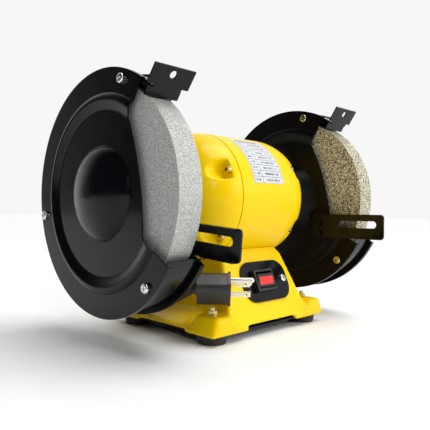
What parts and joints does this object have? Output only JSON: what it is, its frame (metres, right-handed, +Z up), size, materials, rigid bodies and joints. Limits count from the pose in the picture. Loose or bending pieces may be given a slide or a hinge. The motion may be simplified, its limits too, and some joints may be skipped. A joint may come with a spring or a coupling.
{
  "type": "bench grinder",
  "caption": "Double-ended bench grinder: round motor on a cast pedestal, a guarded grinding wheel at each end, slotted rest brackets, rocker switch and mains lead with plug",
  "frame": {"origin": "on the bench, under the middle of the grinder's box without its lead", "axes": "+X along the shaft towards the right-hand wheel, -Y towards the operator, +Z up"},
  "size_m": [0.347, 0.341, 0.2523],
  "materials": {
    "yellow_paint": "gloss",
    "black_paint": "gloss",
    "bright_screws": "polished zinc",
    "zinc_screws": "yellow zinc",
    "steel": "machined",
    "lamination": "dull",
    "copper": "varnished",
    "grey_abrasive": "coarse grain",
    "brown_abrasive": "coarse grain",
    "paper": "matt",
    "rubber_black": "matt",
    "switch_black": "satin",
    "switch_red": "gloss",
    "label": "printed",
    "lead": "satin",
    "pins": "nickel-plated",
    "can": "satin",
    "terminal": "matt",
    "cable_tie": "satin"
  },
  "bodies": {
    "frame": {"motor_body": "yellow_paint", "end_bell_left": "yellow_paint", "end_bell_right": "yellow_paint", "pedestal": "yellow_paint", "guard_cover_left": "black_paint", "guard_cover_right": "black_paint", "guard_plate_left": "black_paint", "guard_plate_right": "black_paint", "guard_band_left": "black_paint", "guard_band_right": "black_paint", "shield_bracket_left": "black_paint", "shield_bracket_right": "black_paint", "spark_deflector_left": "black_paint", "spark_deflector_right": "black_paint", "rest_bracket_left": "black_paint", "rest_bracket_right": "black_paint", "rest_rivets": "black_paint", "bottom_cover": "black_paint", "switch_plate": "black_paint", "cover_screws": "bright_screws", "switch_screws": "bright_screws", "plate_screws": "zinc_screws", "hub_screws": "zinc_screws", "bell_screws": "zinc_screws", "foot_bolts": "zinc_screws", "saddle_screws": "zinc_screws", "bearing_left": "steel", "bearing_right": "steel", "wave_washer": "steel", "capacitor_clip": "steel", "stator_core": "lamination", "stator_windings": "copper", "rubber_feet": "rubber_black", "switch_body": "switch_black", "rating_plate": "label", "cord_gland": "lead", "cord_from_gland": "lead", "cord_to_plug": "lead", "cord_coil": "lead", "plug_body": "lead", "plug_relief": "lead", "plug_pins": "pins", "run_capacitor": "can", "terminal_block": "terminal", "coil_tie": "cable_tie"},
    "rotor": {"shaft": "steel", "rotor_core": "lamination", "inner_flange_left": "steel", "inner_flange_right": "steel", "outer_flange_left": "steel", "outer_flange_right": "steel", "wheel_left": "grey_abrasive", "wheel_right": "brown_abrasive", "blotters": "paper", "arbor_nut_left": "steel", "arbor_nut_right": "steel"},
    "rocker": {"rocker": "switch_black", "rocker_insert": "switch_red"}
  },
  "joints": [
    {"name": "rotor_spin", "type": "hinge", "parent": "frame", "child": "rotor", "pos_m": [0, 0.01122, 0.1393], "axis": [1, 0, 0], "continuous": true},
    {"name": "rocker_tilt", "type": "hinge", "parent": "frame", "child": "rocker", "pos_m": [0, -0.0475, 0.05171], "axis": [1, 0, 0], "range_deg": [-18, 0]}
  ]
}
